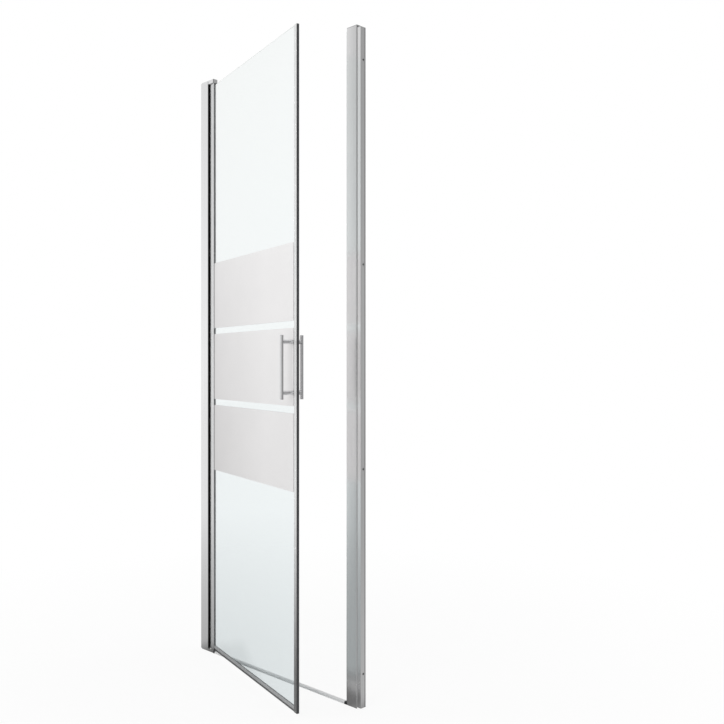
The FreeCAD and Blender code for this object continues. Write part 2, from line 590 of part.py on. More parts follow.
def drip_seal():
    x0, x1 = PROFILE_END + SEAL_END_GAP, EDGE_SEAL_START - SEAL_END_GAP
    low = GLASS_BOTTOM_Z - DRIP_BODY
    half = GLASS_THICK / 2
    body = block(x0, x1, -SEAL_HALF, SEAL_HALF, low, DRIP_FLANGE_TOP_Z)
    pane = block(x0, x1, -half, half, GLASS_BOTTOM_Z, DRIP_FLANGE_TOP_Z)
    fin = block(x0, x1, -DRIP_FIN_THICK / 2, DRIP_FIN_THICK / 2, DRIP_FIN_BOTTOM_Z, low)
    return joined([minus(body, [pane]), fin])


# ---------------------------------------------------------------- handle, in leaf axes
def handle_slab(y0, y1):
    half_w, half_l = HANDLE_WIDTH / 2, HANDLE_LENGTH / 2
    return block(HANDLE_S - half_w, HANDLE_S + half_w, y0, y1, HANDLE_Z - half_l, HANDLE_Z + half_l)


def handle_bar(side, root):
    """Bar that starts at a distance from the leaf's mid plane: side -1 is outside, 1 inside."""
    near, far = side * root, side * (root + HANDLE_THICK)
    bar = handle_slab(min(near, far), max(near, far))
    bar = bar.makeFillet(HANDLE_EDGE_RADIUS, bar.Edges)
    sockets = [rod(POST_SPIGOT_RADIUS + POST_SPIGOT_GAP, (HANDLE_S, near, z), (0, side, 0),
                   POST_SPIGOT_LENGTH + POST_SPIGOT_GAP) for z in POST_HEIGHTS]
    return minus(bar, sockets)


def outer_posts():
    posts = []
    for z in POST_HEIGHTS:
        body = rod(POST_RADIUS, (HANDLE_S, -OUTER_POST_ROOT, z), (0, -1, 0), OUTER_POST_LENGTH)
        tip = rod(POST_SPIGOT_RADIUS, (HANDLE_S, -OUTER_POST_ROOT - OUTER_POST_LENGTH, z), (0, -1, 0),
                  POST_SPIGOT_LENGTH)
        bore = rod(STUD_RADIUS + STUD_GAP, (HANDLE_S, -OUTER_POST_ROOT, z), (0, -1, 0),
                   STUD_IN_OUTER_POST + STUD_GAP)
        grub_y = -OUTER_POST_ROOT - POST_GRUB_FROM_ROOT
        grub = rod(POST_GRUB_RADIUS + GRUB_GAP, (HANDLE_S, grub_y, z), (0, 0, -1), POST_RADIUS)
        posts.append(minus(joined([body, tip]), [bore, grub]))
    return posts


def post_grubs():
    length = POST_RADIUS - STUD_RADIUS - 4 * GRUB_GAP
    grub_y = -OUTER_POST_ROOT - POST_GRUB_FROM_ROOT
    screws = []
    for z in POST_HEIGHTS:
        top = z - STUD_RADIUS - GRUB_GAP
        body = rod(POST_GRUB_RADIUS, (HANDLE_S, grub_y, top), (0, 0, -1), length)
        screws.append(minus(body, [hex_socket((HANDLE_S, grub_y, top - length), (0, 0, 1), DRIVE_DEPTH)]))
    return screws


def inner_posts():
    posts = []
    for z in POST_HEIGHTS:
        body = rod(POST_RADIUS, (HANDLE_S, INNER_POST_ROOT, z), (0, 1, 0), INNER_POST_LENGTH)
        tip = rod(POST_SPIGOT_RADIUS, (HANDLE_S, INNER_POST_ROOT + INNER_POST_LENGTH, z), (0, 1, 0),
                  POST_SPIGOT_LENGTH)
        bore = rod(STUD_RADIUS + STUD_GAP, (HANDLE_S, INNER_POST_ROOT, z), (0, 1, 0),
                   STUD_IN_INNER_POST + STUD_GAP)
        posts.append(minus(joined([body, tip]), [bore]))
    return posts


def handle_rail():
    half = GLASS_THICK / 2
    slab = handle_slab(half, INNER_POST_ROOT)
    ends = edges_along(slab, Vector(0, 1, 0), lambda p: True)
    slab = slab.makeFillet(HANDLE_EDGE_RADIUS, ends)
    holes = [rod(STUD_RADIUS + STUD_LOOSE_GAP, (HANDLE_S, half, z), (0, 1, 0), RAIL_THICK)
             for z in POST_HEIGHTS]
    return minus(slab, holes)


def handle_studs():
    low = -OUTER_POST_ROOT - STUD_IN_OUTER_POST
    high = INNER_POST_ROOT + STUD_IN_INNER_POST
    return [rod(STUD_RADIUS, (HANDLE_S, low, z), (0, 1, 0), high - low) for z in POST_HEIGHTS]


def hole_bushes():
    half = GLASS_THICK / 2
    rings = []
    for z in POST_HEIGHTS:
        ring = rod(GLASS_HOLE_RADIUS - HOLE_BUSH_GAP, (HANDLE_S, -half, z), (0, 1, 0), GLASS_THICK)
        rings.append(minus(ring, [rod(STUD_RADIUS + STUD_LOOSE_GAP, (HANDLE_S, -half, z), (0, 1, 0),
                                      GLASS_THICK)]))
    return rings


def post_washers():
    half = GLASS_THICK / 2
    rings = []
    for z in POST_HEIGHTS:
        ring = rod(POST_RADIUS, (HANDLE_S, -half, z), (0, -1, 0), POST_WASHER)
        rings.append(minus(ring, [rod(STUD_RADIUS + STUD_LOOSE_GAP, (HANDLE_S, -half, z), (0, -1, 0),
                                      POST_WASHER)]))
    return rings


# ---------------------------------------------------------------- assembly
def leaf_node(name, solids):
    node(name, [in_leaf(s) for s in solids])


def main():
    os.makedirs("parts", exist_ok=True)
    node("hinge_channel", [wall_channel(-1, HINGE_SHOW)])
    node("strike_channel", [wall_channel(1, STRIKE_SHOW)])
    node("hinge_jamb", [jamb_profile(-1, HINGE_SHOW, BRACKET_PLATE)])
    node("strike_jamb", [jamb_profile(1, STRIKE_SHOW, 0)])
    node("strike_jamb_cap", [strike_jamb_cap()])
    node("hinge_clamp_screws", clamp_screws(-1, HINGE_SHOW))
    node("strike_clamp_screws", clamp_screws(1, STRIKE_SHOW))
    node("hinge_screw_covers", screw_covers(-1, HINGE_SHOW))
    node("strike_screw_covers", screw_covers(1, STRIKE_SHOW))
    node("threshold_bar", [threshold_bar()])
    node("threshold_plugs", threshold_plugs())
    node("top_pivot_bracket", [top_bracket()])
    node("bottom_pivot_bracket", [bottom_bracket()])
    node("top_bracket_screws", top_bracket_screws())
    node("bottom_bracket_screws", bottom_bracket_screws())
    node("top_bush", [pivot_bush(TOP_BOSS_LOW_Z, TOP_PLATE_Z - BORE_FLOOR, TOP_FLANGE_LOW_Z)])
    node("bottom_bush", [pivot_bush(BORE_FLOOR, BOTTOM_BOSS_HEIGHT, BOTTOM_BOSS_HEIGHT)])
    node("hinge_wiper", [hinge_wiper()])
    node("strike_seal", [strike_seal()])
    node("strike_magnet", [strike_magnet()])
    leaf_node("pivot_profile", [pivot_profile()])
    leaf_node("profile_top_cap", [profile_cap(PROFILE_TOP_Z)])
    leaf_node("profile_bottom_cap", [profile_cap(LEAF_FOOT_Z)])
    leaf_node("top_pin", [top_pin()])
    leaf_node("bottom_pin", [bottom_pin()])
    leaf_node("pin_grub_screws", pin_grubs())
    leaf_node("thrust_washer", [thrust_washer()])
    leaf_node("glass_panel", [glass_panel()])
    leaf_node("glazing_gasket", [glazing_gasket()])
    leaf_node("edge_seal", [edge_seal()])
    leaf_node("edge_magnet", [edge_magnet()])
    leaf_node("drip_seal", [drip_seal()])
    leaf_node("outer_handle_bar", [handle_bar(-1, OUTER_POST_ROOT + OUTER_POST_LENGTH)])
    leaf_node("inner_handle_bar", [handle_bar(1, INNER_POST_ROOT + INNER_POST_LENGTH)])
    leaf_node("outer_handle_posts", outer_posts())
    leaf_node("inner_handle_posts", inner_posts())
    leaf_node("handle_rail", [handle_rail()])
    leaf_node("handle_studs", handle_studs())
    leaf_node("glass_hole_bushes", hole_bushes())
    leaf_node("outer_post_washers", post_washers())
    leaf_node("post_grub_screws", post_grubs())


main()
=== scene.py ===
import json
import math

import bmesh
import bpy
from mathutils import Matrix, Vector


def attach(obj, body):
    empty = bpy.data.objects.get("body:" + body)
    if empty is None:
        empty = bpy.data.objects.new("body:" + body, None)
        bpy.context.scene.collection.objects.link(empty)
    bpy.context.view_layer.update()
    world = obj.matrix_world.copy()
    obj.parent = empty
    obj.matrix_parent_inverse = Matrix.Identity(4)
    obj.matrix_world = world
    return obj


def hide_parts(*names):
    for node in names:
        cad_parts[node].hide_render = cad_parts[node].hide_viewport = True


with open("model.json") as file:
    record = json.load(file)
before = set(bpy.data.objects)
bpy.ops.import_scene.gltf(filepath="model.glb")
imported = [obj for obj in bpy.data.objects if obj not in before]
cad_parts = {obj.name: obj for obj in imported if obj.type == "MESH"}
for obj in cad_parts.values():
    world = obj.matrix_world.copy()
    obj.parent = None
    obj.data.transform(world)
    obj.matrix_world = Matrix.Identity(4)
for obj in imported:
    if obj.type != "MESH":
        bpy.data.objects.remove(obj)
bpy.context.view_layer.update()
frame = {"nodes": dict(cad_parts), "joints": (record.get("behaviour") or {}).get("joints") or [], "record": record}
nodes = frame["nodes"]
joints = {joint["name"]: joint for joint in frame["joints"]}

# Pivot shower door, in metres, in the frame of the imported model. The leaf's own axes run
# from the pivot: X along the leaf, -Y to the outside.
OPEN_ANGLE = math.radians(15)
DOOR_MIDDLE = Vector((0.0, 0.0, 1.0))
LEAF_PLACE = Matrix.Translation(joints["leaf_pivot"]["pos_m"]) @ Matrix.Rotation(-OPEN_ANGLE, 4, "Z")

# Glass and its frosted print
GLASS_LEFT = 0.018
GLASS_RIGHT = 0.6615
GLASS_BOTTOM = 0.020
GLASS_TOP = 1.928
GLASS_OUTER = -0.00295
GLASS_INNER = 0.00295
GLASS_ARRIS = 0.0004
PRINT_OFF = 0.00299
PRINT_THICK = 0.00002
PRINT_LEFT = 0.0195
PRINT_RIGHT = 0.6483
PRINT_CENTRE = 0.9745
PANEL_TALL = 0.220
PANEL_PITCH = 0.240
HANDLE_ALONG = 0.645
STUD_HOLE = 0.0045
STUD_HEIGHTS = (0.903, 1.045)
HOLE_STEPS = 32
NOTCH_STEPS = 24

# Room as metal sees it. ROOM_AREAS holds a window and a dark corner: the bearing of each one's
# middle in degrees from +X, where it starts and stops to fade on each side, and how much brighter or
# darker than the walls it is.
WORLD_FILL = 0.72
GREY_WALL = 0.42
CEILING = 0.55
CEILING_STARTS = 0.45
CEILING_FULL = 0.8
ROOM_AREAS = ((-156.0, 20.0, 46.0, 0.5), (-60.0, 14.0, 34.0, -0.34))

# Floor as metal sees it: grey near the door, like the room further off, and darker in the doorway, where a shadow
# of the door is painted in
NEAR_FLOOR = 0.45
NEAR_REACH = 0.45
FAR_REACH = 3.2
FAR_SHARE = 0.9
DOORWAY_SHADOW_TONE = 0.16
DOORWAY_SIDES = (0.34, 0.46)
DOORWAY_OUTSIDE = (-0.13, -0.10)
DOORWAY_INSIDE = (0.0, 0.3)

# Seals on the glass: half the slot for the glass, half the seal's width, and the lips' thickness
SEAL_SLOT = 0.00302
SEAL_SKIN = 0.00375
SEAL_LIP = 0.00035
SEAL_LIP_TALL = 0.004
DRIP_LEFT = 0.0353
DRIP_RIGHT = 0.6517
DRIP_TOP = 0.0295
DRIP_SLOT_FLOOR = 0.0198
DRIP_WEB_FOOT = 0.018
DRIP_SHOULDER = 0.0012
DRIP_FOOT = 0.0105
FIN_ROOT = 0.0012
FIN_TIP = 0.0005
LIP_TOP = 0.0186
EDGE_SEAL_LEFT = 0.652
EDGE_SEAL_RIGHT = 0.6685
LEAF_FOOT = 0.0125

# Opening side of each jamb, from the middle of the door, and the strip of a channel at its back
# edge, which is darkened with painted shade where the channel meets the wall
JAMB_OPENING_SIDES = (("strike_jamb", 0.3345), ("hinge_jamb", 0.347))
CHANNEL_SHADE_STRIP = (0.0105, 0.0122)
CHANNEL_SHADE_SHARE = 0.3

# Heights between which painted shade turns the clear seal darker on the way down, in place of the floor's
# reflection
SEAL_SHADE_HEIGHTS = (0.60, 0.12)
SEAL_FOOT_SHADE = 0.2


# ---------------------------------------------------------------- node tree helpers
def put(tree, kind, label=None, **settings):
    """Adds a node, with a label and settings where they are given."""
    node = tree.nodes.new(kind)
    if label:
        node.label = label
    for key, value in settings.items():
        setattr(node, key, value)
    return node


def give(node, **values):
    """Sets unlinked inputs by name, with underscores for spaces."""
    for key, value in values.items():
        node.inputs[key.replace("_", " ")].default_value = value
    return node


def effect_group(name, inputs, outputs):
    """Empty node group with its sockets, and its input and output nodes."""
    group = bpy.data.node_groups.new(name, "ShaderNodeTree")
    for label, kind, value in inputs:
        socket = group.interface.new_socket(name=label, in_out="INPUT", socket_type=kind)
        if value is not None:
            socket.default_value = value
    for label, kind in outputs:
        group.interface.new_socket(name=label, in_out="OUTPUT", socket_type=kind)
    return group, put(group, "NodeGroupInput"), put(group, "NodeGroupOutput")


def noise(tree, vector, scale, detail=3.0, rough=0.55):
    """Value of a noise texture."""
    node = put(tree, "ShaderNodeTexNoise")
    give(node, Scale=scale, Detail=detail, Roughness=rough)
    tree.links.new(vector, node.inputs["Vector"])
    return node.outputs["Fac"]


def spread(tree, value, low_in, high_in, low_out, high_out):
    """Maps one range of a value to another and holds it at the ends."""
    node = put(tree, "ShaderNodeMapRange")
    give(node, From_Min=low_in, From_Max=high_in)
    tree.links.new(value, node.inputs["Value"])
    for key, setting in (("To Min", low_out), ("To Max", high_out)):
        if isinstance(setting, (int, float)):
            node.inputs[key].default_value = setting
        else:
            tree.links.new(setting, node.inputs[key])
    return node.outputs["Result"]


def sum_of(tree, operation, first, second):
    """One step of arithmetic on two sockets or numbers."""
    node = put(tree, "ShaderNodeMath", operation=operation)
    for socket, value in zip(node.inputs, (first, second)):
        if isinstance(value, (int, float)):
            socket.default_value = value
        else:
            tree.links.new(value, socket)
    return node.outputs[0]


def blend_colours(tree, factor, first, second, how="MIX"):
    """Blends two sockets or colours by a factor."""
    node = put(tree, "ShaderNodeMix", data_type="RGBA", blend_type=how)
    tree.links.new(factor, node.inputs["Factor"])
    for socket, colour in ((node.inputs[6], first), (node.inputs[7], second)):
        if isinstance(colour, tuple):
            socket.default_value = (*colour, 1.0)
        else:
            tree.links.new(colour, socket)
    return node.outputs[2]


# ---------------------------------------------------------------- effects that several finishes share
def make_drawn_metal():
    """Long fine lines left by the extrusion die, with soft cloudy patches from handling."""
    group, given, made = effect_group(
        "drawn_metal",
        [("Vector", "NodeSocketVector", None), ("Bright", "NodeSocketColor", (0.85, 0.85, 0.86, 1)),
         ("Dull", "NodeSocketColor", (0.7, 0.7, 0.71, 1)), ("Smooth", "NodeSocketFloat", 0.2),
         ("Rough", "NodeSocketFloat", 0.3)],
        [("Color", "NodeSocketColor"), ("Roughness", "NodeSocketFloat"), ("Height", "NodeSocketFloat")])
    along = put(group, "ShaderNodeMapping", "lines run along Z")
    give(along, Scale=(1.0, 1.0, 0.004))
    group.links.new(given.outputs["Vector"], along.inputs["Vector"])
    lines = noise(group, along.outputs["Vector"], 900.0, 2.0)
    broad = noise(group, along.outputs["Vector"], 160.0, 2.0)
    patches = noise(group, given.outputs["Vector"], 9.0, 4.0)
    line_tone = spread(group, lines, 0.35, 0.65, 0.0, 0.5)
    broad_tone = spread(group, broad, 0.3, 0.7, 0.0, 0.5)
    both = sum_of(group, "ADD", line_tone, broad_tone)
    colour = blend_colours(group, both, given.outputs["Bright"], given.outputs["Dull"])
    group.links.new(colour, made.inputs["Color"])
    roughness = spread(group, patches, 0.3, 0.7, given.outputs["Smooth"], given.outputs["Rough"])
    group.links.new(roughness, made.inputs["Roughness"])
    group.links.new(both, made.inputs["Height"])
    return group


def make_handled_metal():
    """Plated or turned metal with faint wipe marks and small pits."""
    group, given, made = effect_group(
        "handled_metal",
        [("Vector", "NodeSocketVector", None), ("Bright", "NodeSocketColor", (0.85, 0.85, 0.86, 1)),
         ("Dull", "NodeSocketColor", (0.7, 0.7, 0.71, 1)), ("Smooth", "NodeSocketFloat", 0.06),
         ("Rough", "NodeSocketFloat", 0.16), ("Mark Size", "NodeSocketFloat", 60.0)],
        [("Color", "NodeSocketColor"), ("Roughness", "NodeSocketFloat"), ("Height", "NodeSocketFloat")])
    marks = put(group, "ShaderNodeTexNoise", "wipe marks")
    give(marks, Detail=5.0, Roughness=0.6, Distortion=0.8)
    group.links.new(given.outputs["Vector"], marks.inputs["Vector"])
    group.links.new(given.outputs["Mark Size"], marks.inputs["Scale"])
    tone = spread(group, marks.outputs["Fac"], 0.35, 0.7, 0.0, 1.0)
    group.links.new(blend_colours(group, tone, given.outputs["Bright"], given.outputs["Dull"]),
                    made.inputs["Color"])
    group.links.new(spread(group, tone, 0.0, 1.0, given.outputs["Smooth"], given.outputs["Rough"]),
                    made.inputs["Roughness"])
    pits = noise(group, given.outputs["Vector"], 1400.0, 2.0)
    group.links.new(pits, made.inputs["Height"])
    return group


def make_moulded_skin():
    """Fine-grained skin of rubber, nylon and moulded plastic."""
    group, given, made = effect_group(
        "moulded_skin",
        [("Vector", "NodeSocketVector", None), ("Body", "NodeSocketColor", (0.5, 0.5, 0.5, 1)),
         ("Dust", "NodeSocketColor", (0.6, 0.6, 0.6, 1)), ("Smooth", "NodeSocketFloat", 0.4),
         ("Rough", "NodeSocketFloat", 0.6), ("Grain", "NodeSocketFloat", 1500.0)],
        [("Color", "NodeSocketColor"), ("Roughness", "NodeSocketFloat"), ("Height", "NodeSocketFloat")])
    grain = put(group, "ShaderNodeTexNoise", "grain")
    give(grain, Detail=3.0)
    group.links.new(given.outputs["Vector"], grain.inputs["Vector"])
    group.links.new(given.outputs["Grain"], grain.inputs["Scale"])
    film = noise(group, given.outputs["Vector"], 35.0, 5.0)
    dust = spread(group, film, 0.4, 0.75, 0.0, 1.0)
    group.links.new(blend_colours(group, dust, given.outputs["Body"], given.outputs["Dust"]),
                    made.inputs["Color"])
    group.links.new(spread(group, film, 0.3, 0.7, given.outputs["Smooth"], given.outputs["Rough"]),
                    made.inputs["Roughness"])
    group.links.new(grain.outputs["Fac"], made.inputs["Height"])
    return group


DRAWN_METAL = make_drawn_metal()
HANDLED_METAL = make_handled_metal()
MOULDED_SKIN = make_moulded_skin()


def make_crowned_face():
    """Relief of a jamb's front, which is very slightly domed: flat at the opening side, then
    falling away towards the wall. Edge is the opening side's distance from the middle."""
    group, given, made = effect_group(
        "crowned_face",
        [("Vector", "NodeSocketVector", None), ("Edge", "NodeSocketFloat", 0.3345),
         ("Radius", "NodeSocketFloat", 0.386)],
        [("Height", "NodeSocketFloat")])
    parts = put(group, "ShaderNodeSeparateXYZ")
    group.links.new(given.outputs["Vector"], parts.inputs["Vector"])
    from_middle = sum_of(group, "ABSOLUTE", parts.outputs["X"], 0.0)
    past_edge = sum_of(group, "MAXIMUM", sum_of(group, "SUBTRACT", from_middle, given.outputs["Edge"]), 0.0)
    fall = sum_of(group, "DIVIDE", sum_of(group, "POWER", past_edge, 2.0), given.outputs["Radius"])
    group.links.new(sum_of(group, "MULTIPLY", fall, -0.5), made.inputs["Height"])
    return group


CROWNED_FACE = make_crowned_face()


def finish_of(name, effect, bump_depth, turned=False, metallic=0.0, ior=1.45, crown_edge=None,
              **effect_values):
    """A material whose colour, roughness and relief come from one effect group."""
    material = bpy.data.materials.new(name)
    material.use_nodes = True
    tree = material.node_tree
    shader = tree.nodes["Principled BSDF"]
    give(shader, Metallic=metallic, IOR=ior)
    place = put(tree, "ShaderNodeTexCoord")
    vector = place.outputs["Object"]
    if turned:
        turn = put(tree, "ShaderNodeMapping", "lines run along X")
        give(turn, Rotation=(0.0, math.radians(90), 0.0))
        tree.links.new(vector, turn.inputs["Vector"])
        vector = turn.outputs["Vector"]
    group = put(tree, "ShaderNodeGroup", node_tree=effect)
    for key, value in effect_values.items():
        setting = (*value, 1.0) if isinstance(value, tuple) else value
        group.inputs[key.replace("_", " ")].default_value = setting
    tree.links.new(vector, group.inputs["Vector"])
    tree.links.new(group.outputs["Color"], shader.inputs["Base Color"])
    tree.links.new(group.outputs["Roughness"], shader.inputs["Roughness"])
    bump = put(tree, "ShaderNodeBump")
    give(bump, Strength=1.0, Distance=bump_depth)
    tree.links.new(group.outputs["Height"], bump.inputs["Height"])
    tree.links.new(bump.outputs["Normal"], shader.inputs["Normal"])
    if crown_edge:
        crown = give(put(tree, "ShaderNodeGroup", node_tree=CROWNED_FACE), Edge=crown_edge)
        tree.links.new(place.outputs["Object"], crown.inputs["Vector"])
        dome = give(put(tree, "ShaderNodeBump"), Strength=1.0, Distance=1.0)
        tree.links.new(crown.outputs["Height"], dome.inputs["Height"])
        tree.links.new(dome.outputs["Normal"], bump.inputs["Normal"])
    return material


def shade_towards(material, axis, start, end, share):
    """Paints shade into a finish: multiplies its colour by a share that is reached at the end of a run along an
    axis.
    """
    tree = material.node_tree
    socket = tree.nodes["Principled BSDF"].inputs["Base Color"]
    plain = socket.links[0].from_socket
    place = put(tree, "ShaderNodeTexCoord")
    parts = put(tree, "ShaderNodeSeparateXYZ")
    tree.links.new(place.outputs["Object"], parts.inputs["Vector"])
    mask = spread(tree, parts.outputs[axis], start, end, 0.0, 1.0)
    tree.links.new(blend_colours(tree, mask, plain, (share, share, share), "MULTIPLY"), socket)


# ---------------------------------------------------------------- metal finishes
polished_aluminium = finish_of(
    "polished_aluminium", DRAWN_METAL, 0.000004, metallic=1.0,
    Bright=(0.86, 0.865, 0.87), Dull=(0.78, 0.785, 0.79), Smooth=0.20, Rough=0.28)
jamb_finishes = {}
for jamb, opening_side in JAMB_OPENING_SIDES:
    jamb_finishes[jamb] = finish_of(
        jamb + "_aluminium", DRAWN_METAL, 0.000004, metallic=1.0, crown_edge=opening_side,
        Bright=(0.95, 0.95, 0.955), Dull=(0.88, 0.88, 0.885), Smooth=0.18, Rough=0.26)
threshold_aluminium = finish_of(
    "threshold_aluminium", DRAWN_METAL, 0.000004, turned=True, metallic=0.12,
    Bright=(0.96, 0.96, 0.965), Dull=(0.91, 0.91, 0.915), Smooth=0.40, Rough=0.50)
anodised_channel = finish_of(
    "anodised_channel", DRAWN_METAL, 0.000006, metallic=1.0,
    Bright=(0.94, 0.94, 0.945), Dull=(0.86, 0.86, 0.865), Smooth=0.20, Rough=0.28)
# Painted shade: the channel's rear strip, where it meets the wall, is darkened.
shade_towards(anodised_channel, "Y", *CHANNEL_SHADE_STRIP, CHANNEL_SHADE_SHARE)
# Painted light and shade: the handle bars and their posts are one chrome, made as a darker copy on the bars and a
# brighter copy on the posts.
chrome_handle = finish_of(
    "chrome_handle", HANDLED_METAL, 0.000001, metallic=1.0,
    Bright=(0.70, 0.70, 0.71), Dull=(0.64, 0.64, 0.65), Smooth=0.08, Rough=0.18, Mark_Size=70.0)
chrome_posts_lit_copy = finish_of(
    "chrome_posts_lit_copy", HANDLED_METAL, 0.000001, metallic=1.0,
    Bright=(0.82, 0.82, 0.83), Dull=(0.74, 0.74, 0.75), Smooth=0.14, Rough=0.24, Mark_Size=90.0)
chrome_bracket = finish_of(
    "chrome_bracket", HANDLED_METAL, 0.000003, metallic=1.0,
    Bright=(0.96, 0.96, 0.965), Dull=(0.88, 0.88, 0.885), Smooth=0.08, Rough=0.16, Mark_Size=120.0)
chrome_plastic_cap = finish_of(
    "chrome_plastic_cap", HANDLED_METAL, 0.000002, metallic=1.0,
    Bright=(0.50, 0.505, 0.51), Dull=(0.42, 0.425, 0.43), Smooth=0.14, Rough=0.26, Mark_Size=90.0)
stainless_screws = finish_of(
    "stainless_screws", HANDLED_METAL, 0.000003, metallic=1.0,
    Bright=(0.64, 0.64, 0.63), Dull=(0.50, 0.50, 0.49), Smooth=0.24, Rough=0.38, Mark_Size=400.0)

# ---------------------------------------------------------------- rubber, plastic and nylon finishes
black_rubber = finish_of(
    "black_rubber", MOULDED_SKIN, 0.00003, ior=1.5,
    Body=(0.004, 0.004, 0.004), Dust=(0.008, 0.008, 0.008), Smooth=0.6, Rough=0.75, Grain=1800.0)
give(black_rubber.node_tree.nodes["Principled BSDF"], Specular_IOR_Level=0.2)
magnet_strip = finish_of(
    "magnet_strip", MOULDED_SKIN, 0.00002, ior=1.5,
    Body=(0.045, 0.047, 0.05), Dust=(0.07, 0.07, 0.075), Smooth=0.4, Rough=0.55, Grain=2200.0)
grey_gasket = finish_of(
    "grey_gasket", MOULDED_SKIN, 0.00003, ior=1.5,
    Body=(0.22, 0.225, 0.23), Dust=(0.27, 0.275, 0.28), Smooth=0.5, Rough=0.65, Grain=1600.0)
white_nylon = finish_of(
    "white_nylon", MOULDED_SKIN, 0.00002, ior=1.53,
    Body=(0.80, 0.80, 0.78), Dust=(0.74, 0.74, 0.71), Smooth=0.35, Rough=0.5, Grain=1200.0)
black_plastic = finish_of(
    "black_plastic", MOULDED_SKIN, 0.00003, ior=1.5,
    Body=(0.015, 0.015, 0.016), Dust=(0.03, 0.03, 0.03), Smooth=0.35, Rough=0.5, Grain=1500.0)
clear_seal = finish_of(
    "clear_seal", MOULDED_SKIN, 0.00002, ior=1.46,
    Body=(0.95, 0.955, 0.955), Dust=(0.90, 0.91, 0.91), Smooth=0.28, Rough=0.42, Grain=500.0)
give(clear_seal.node_tree.nodes["Principled BSDF"], Transmission_Weight=0.15)
# Painted shade: the clear seal is darkened towards the floor, standing in for the floor's reflection.
shade_towards(clear_seal, "Z", *SEAL_SHADE_HEIGHTS, SEAL_FOOT_SHADE)
grey_seal = finish_of(
    "grey_seal", MOULDED_SKIN, 0.00002, ior=1.46,
    Body=(0.52, 0.53, 0.535), Dust=(0.46, 0.47, 0.475), Smooth=0.22, Rough=0.36, Grain=500.0)
give(grey_seal.node_tree.nodes["Principled BSDF"], Transmission_Weight=0.2)
seal_lip = finish_of(
    "seal_lip", MOULDED_SKIN, 0.00003, ior=1.48,
    Body=(0.10, 0.103, 0.106), Dust=(0.14, 0.143, 0.146), Smooth=0.35, Rough=0.5, Grain=900.0)


# ---------------------------------------------------------------- glass and frosted print
def make_glass():
    """Clear glass, a little green, with painted shade that greys it towards the floor, and faint water marks."""
    material = bpy.data.materials.new("toughened_glass")
    material.use_nodes = True
    tree = material.node_tree
    shader = give(tree.nodes["Principled BSDF"], Metallic=0.0, Transmission_Weight=1.0, IOR=1.46)
    place = put(tree, "ShaderNodeTexCoord")
    parts = put(tree, "ShaderNodeSeparateXYZ")
    tree.links.new(place.outputs["Object"], parts.inputs["Vector"])
    # Painted shade: the glass turns greyer towards the floor; the green tint is the glass's own.
    height = spread(tree, parts.outputs["Z"], 0.1, 1.85, 0.0, 1.0)
    glass_tint_and_painted_shade = blend_colours(tree, height, (0.86, 0.915, 0.925), (0.975, 1.0, 0.995))
    tree.links.new(glass_tint_and_painted_shade, shader.inputs["Base Color"])
    marks = noise(tree, place.outputs["Object"], 14.0, 6.0)
    tree.links.new(spread(tree, marks, 0.45, 0.8, 0.0, 0.02), shader.inputs["Roughness"])
    return material


def make_ground_edge():
    """Ground edge of the pane: pale and matt, with the wheel's fine marks."""
    material = bpy.data.materials.new("ground_glass_edge")
    material.use_nodes = True
    tree = material.node_tree
    shader = give(tree.nodes["Principled BSDF"], Metallic=0.0, Transmission_Weight=0.75, IOR=1.02)
    place = put(tree, "ShaderNodeTexCoord")
    marks = noise(tree, place.outputs["Object"], 700.0, 3.0)
    tone = spread(tree, marks, 0.3, 0.7, 0.0, 1.0)
    colour = blend_colours(tree, tone, (0.93, 0.97, 0.965), (0.97, 0.99, 0.985))
    tree.links.new(colour, shader.inputs["Base Color"])
    tree.links.new(spread(tree, tone, 0.0, 1.0, 0.45, 0.65), shader.inputs["Roughness"])
    return material


def make_frost():
    """Etched print on the glass: pale grey with a fine tooth, and painted shade that darkens it low down and near
    the pivot.
    """
    material = bpy.data.materials.new("frosted_print")
    material.use_nodes = True
    tree = material.node_tree
    shader = give(tree.nodes["Principled BSDF"], Metallic=0.0, IOR=1.45, Specular_IOR_Level=0.2)
    place = put(tree, "ShaderNodeTexCoord")
    cloud = noise(tree, place.outputs["Object"], 4.0, 3.0)
    tooth = noise(tree, place.outputs["Object"], 1800.0, 2.0)
    parts = put(tree, "ShaderNodeSeparateXYZ")
    tree.links.new(place.outputs["Object"], parts.inputs["Vector"])
    # Painted light and shade: the print darkens low down and towards the pivot, and is lightest high up near the
    # handle.
    raised = spread(tree, parts.outputs["Z"], 0.62, 1.33, 0.0, 1.0)
    across = spread(tree, parts.outputs["X"], -0.32, 0.10, 0.0, 1.0)
    painted_shade_near_pivot = blend_colours(tree, raised, (0.72, 0.71, 0.71), (0.87, 0.86, 0.86))
    painted_light_near_handle = blend_colours(tree, raised, (0.88, 0.87, 0.87), (0.96, 0.95, 0.95))
    painted_light_and_shade = blend_colours(tree, across, painted_shade_near_pivot, painted_light_near_handle)
    tone = spread(tree, cloud, 0.3, 0.7, 0.0, 1.0)
    colour = blend_colours(tree, tone, painted_light_and_shade, (0.97, 0.97, 0.97), "MULTIPLY")
    tree.links.new(colour, shader.inputs["Base Color"])
    tree.links.new(spread(tree, tooth, 0.3, 0.7, 0.7, 0.9), shader.inputs["Roughness"])
    bump = put(tree, "ShaderNodeBump")
    give(bump, Strength=1.0, Distance=0.00002)
    tree.links.new(tooth, bump.inputs["Height"])
    tree.links.new(bump.outputs["Normal"], shader.inputs["Normal"])
    return material


toughened_glass = make_glass()
ground_glass_edge = make_ground_edge()
frosted_print = make_frost()


